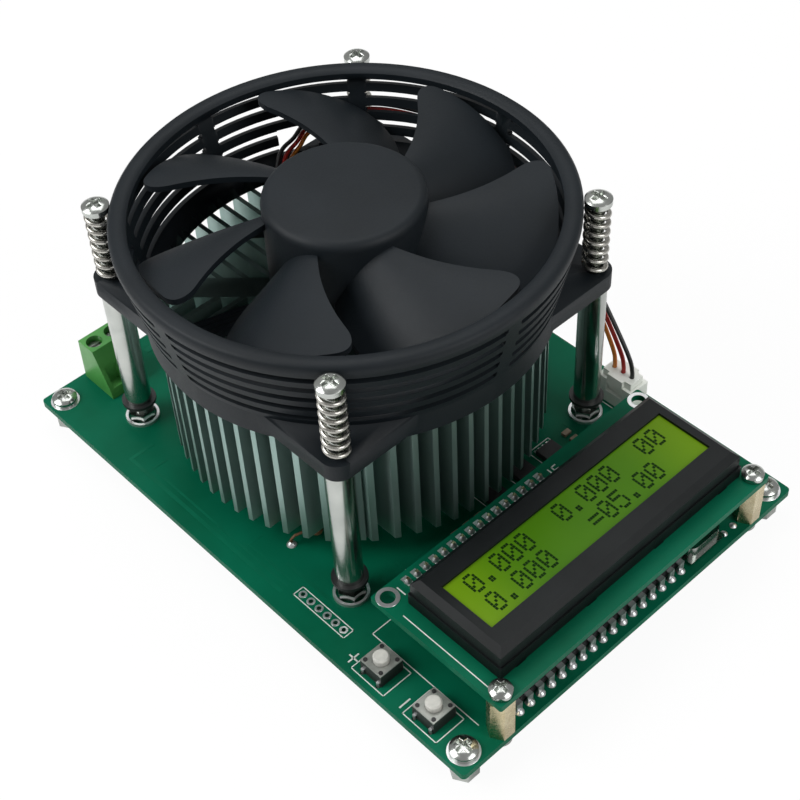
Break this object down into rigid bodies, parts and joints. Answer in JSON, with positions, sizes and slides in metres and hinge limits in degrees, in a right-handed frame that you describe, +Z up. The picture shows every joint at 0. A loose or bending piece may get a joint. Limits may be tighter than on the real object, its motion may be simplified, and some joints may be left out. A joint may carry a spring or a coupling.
{
  "type": "dc electronic load",
  "caption": "Bench electronic load on a green board with a finned cooler and fan, a two line display, push buttons and a screw terminal.",
  "frame": {"origin": "middle of the board outline, on the surface that the four feet stand on", "axes": "+X along the display in reading direction, +Y from the display to the screw terminal, +Z up out of the board"},
  "size_m": [0.1, 0.14, 0.072],
  "materials": {
    "pcb_green": "solder mask over a glass fibre board",
    "nickel_steel": "nickel plated steel",
    "spring_steel": "plated spring wire",
    "solder_tin": "tinned leads",
    "gold_brass": "bare brass",
    "aluminium": "extruded, sawn ends",
    "fan_black": "fine moulded grain",
    "chip_black": "moulded epoxy",
    "strip_black": "moulded",
    "thermal_grey": "silicone pad",
    "shunt_copper": "bare resistance wire",
    "coil_copper": "enamelled copper",
    "core_steel": "stacked laminations",
    "magnet_dark": "bonded ferrite",
    "wire_red": "soft insulation",
    "wire_yellow": "soft insulation",
    "wire_black": "soft insulation",
    "plug_white": "natural nylon",
    "bezel_black": "black painted sheet steel",
    "lcd_glass": "polarised cell lit from behind",
    "backlight": "light guide",
    "contact_pink": "elastomer strip",
    "part_tan": "fired body",
    "sensor_copper": "dipped bead and enamelled lead",
    "cover_tin": "tinned sheet",
    "button_white": "moulded",
    "terminal_green": "moulded"
  },
  "bodies": {
    "load": {"main_board": "pcb_green", "board_feet": "nickel_steel", "board_screws": "nickel_steel", "power_transistors": "chip_black", "transistor_leads": "solder_tin", "thermal_pads": "thermal_grey", "shunt_wire": "shunt_copper", "heatsink": "aluminium", "corner_posts": "nickel_steel", "post_washers": "strip_black", "post_nuts": "nickel_steel", "lock_nuts": "nickel_steel", "fan_frame": "fan_black", "spring_screws": "nickel_steel", "clamp_springs": "spring_steel", "fan_circuit_board": "pcb_green", "fan_stator": "core_steel", "stator_coils": "coil_copper", "fan_bearing": "gold_brass", "fan_wire_red": "wire_red", "fan_wire_yellow": "wire_yellow", "fan_wire_black": "wire_black", "fan_header": "plug_white", "fan_header_pins": "gold_brass", "fan_plug": "plug_white", "display_standoffs": "gold_brass", "display_screws": "nickel_steel", "display_board": "pcb_green", "display_bezel": "bezel_black", "display_glass": "lcd_glass", "display_backlight": "backlight", "display_contacts": "contact_pink", "display_drivers": "chip_black", "display_pins": "gold_brass", "display_pin_strip": "strip_black", "display_socket": "strip_black", "socket_contacts": "solder_tin", "controller": "chip_black", "controller_pins": "solder_tin", "crystal": "nickel_steel", "amplifier_chips": "chip_black", "amplifier_leads": "solder_tin", "chip_parts": "part_tan", "temperature_sensor": "sensor_copper", "switch_bases": "strip_black", "switch_covers": "cover_tin", "switch_domes": "nickel_steel", "switch_leads": "solder_tin", "terminal_block": "terminal_green", "terminal_pins": "solder_tin"},
    "rotor": {"fan_rotor": "fan_black", "rotor_yoke": "nickel_steel", "rotor_magnet": "magnet_dark", "fan_shaft": "nickel_steel"},
    "increase": {"increase_button": "button_white"},
    "decrease": {"decrease_button": "button_white"},
    "screw_left": {"terminal_screw_left": "nickel_steel"},
    "screw_right": {"terminal_screw_right": "nickel_steel"},
    "clamp_left": {"wire_clamp_left": "nickel_steel"},
    "clamp_right": {"wire_clamp_right": "nickel_steel"}
  },
  "joints": [
    {"name": "fan_spin", "type": "hinge", "parent": "load", "child": "rotor", "pos_m": [0, 0.013, 0.06], "axis": [0, 0, 1], "continuous": true},
    {"name": "increase_press", "type": "slide", "parent": "load", "child": "increase", "axis": [0, 0, -1], "range_m": [0, 0.00025], "stiffness_N_per_m": 6000},
    {"name": "decrease_press", "type": "slide", "parent": "load", "child": "decrease", "axis": [0, 0, -1], "range_m": [0, 0.00025], "stiffness_N_per_m": 6000},
    {"name": "left_screw_turn", "type": "hinge", "parent": "load", "child": "screw_left", "pos_m": [-0.03534, 0.0656, 0.018], "axis": [0, 0, 1], "range_deg": [0, 1080]},
    {"name": "right_screw_turn", "type": "hinge", "parent": "load", "child": "screw_right", "pos_m": [-0.03026, 0.0656, 0.018], "axis": [0, 0, 1], "range_deg": [0, 1080]},
    {"name": "left_clamp_rise", "type": "slide", "parent": "load", "child": "clamp_left", "axis": [0, 0, 1], "range_m": [0, 0.0015]},
    {"name": "right_clamp_rise", "type": "slide", "parent": "load", "child": "clamp_right", "axis": [0, 0, 1], "range_m": [0, 0.0015]}
  ],
  "couplings": [
    {"joint": "left_screw_turn", "follows": "left_clamp_rise", "rad_per_m": 12566},
    {"joint": "right_screw_turn", "follows": "right_clamp_rise", "rad_per_m": 12566}
  ]
}
